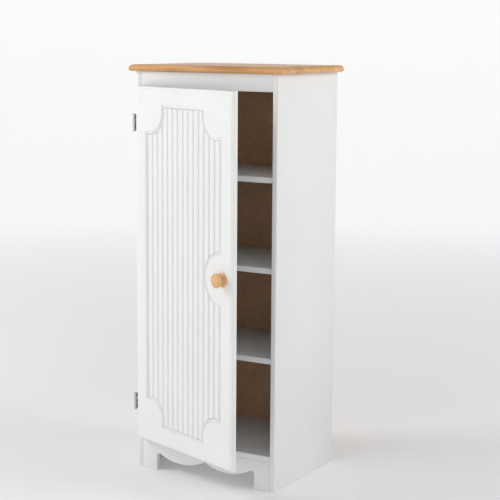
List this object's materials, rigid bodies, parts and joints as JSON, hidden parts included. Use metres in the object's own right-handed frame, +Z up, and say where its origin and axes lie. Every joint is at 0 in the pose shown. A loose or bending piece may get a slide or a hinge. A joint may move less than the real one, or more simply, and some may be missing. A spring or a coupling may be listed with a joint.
{
  "type": "pantry cabinet",
  "caption": "Tall narrow white pantry cabinet with a hinged beadboard door, adjustable shelves, scalloped base and solid pine top.",
  "frame": {"origin": "centre of the carcase's footprint on the floor", "axes": "+X to the cabinet's right seen from the front, +Y to the back, +Z up"},
  "size_m": [0.515, 0.5515, 1.219],
  "materials": {
    "white_board": "white melamine-faced board, satin",
    "door_white": "white thermofoil moulded over fibreboard, satin",
    "pine_top": "natural pine, clear satin lacquer",
    "pine_knob": "natural pine, clear satin lacquer",
    "hardboard": "brown hardboard, smooth side out",
    "block_wood": "plain softwood",
    "dowel_wood": "beech",
    "hinge_metal": "bright nickel plated steel",
    "steel": "zinc plated steel",
    "zinc_cast": "die-cast zinc",
    "magnet_black": "black ferrite magnet",
    "white_plastic": "white moulded plastic",
    "bumper_clear": "translucent soft bumper"
  },
  "bodies": {
    "cabinet": {"side_panel_left": "white_board", "side_panel_right": "white_board", "bottom_panel": "white_board", "top_rail": "white_board", "front_stretcher": "white_board", "rear_stretcher": "white_board", "apron": "white_board", "apron_blocks": "block_wood", "back_panel": "hardboard", "back_nails": "steel", "top_slab": "pine_top", "shelf_lower": "white_board", "shelf_middle": "white_board", "shelf_upper": "white_board", "shelf_pins_lower": "steel", "shelf_pins_middle": "steel", "shelf_pins_upper": "steel", "cam_locks": "zinc_cast", "cam_bolts": "steel", "wooden_dowels": "dowel_wood", "top_screws": "steel", "hinge_upper_frame_leaf": "hinge_metal", "hinge_upper_pin": "hinge_metal", "hinge_lower_frame_leaf": "hinge_metal", "hinge_lower_pin": "hinge_metal", "frame_leaf_screws": "hinge_metal", "catch_housing": "white_plastic", "catch_magnet": "magnet_black", "catch_pole_plates": "steel", "catch_screws": "steel"},
    "door": {"door_panel": "door_white", "hinge_upper_door_leaf": "hinge_metal", "hinge_lower_door_leaf": "hinge_metal", "door_leaf_screws": "hinge_metal", "knob": "pine_knob", "knob_screw": "steel", "catch_strike": "steel", "strike_screws": "steel", "door_bumpers": "bumper_clear"}
  },
  "joints": [
    {"name": "door_hinge", "type": "hinge", "parent": "cabinet", "child": "door", "pos_m": [-0.2365, -0.197, 0.62975], "axis": [0, 0, -1], "range_deg": [-19.5, 150.5]}
  ]
}
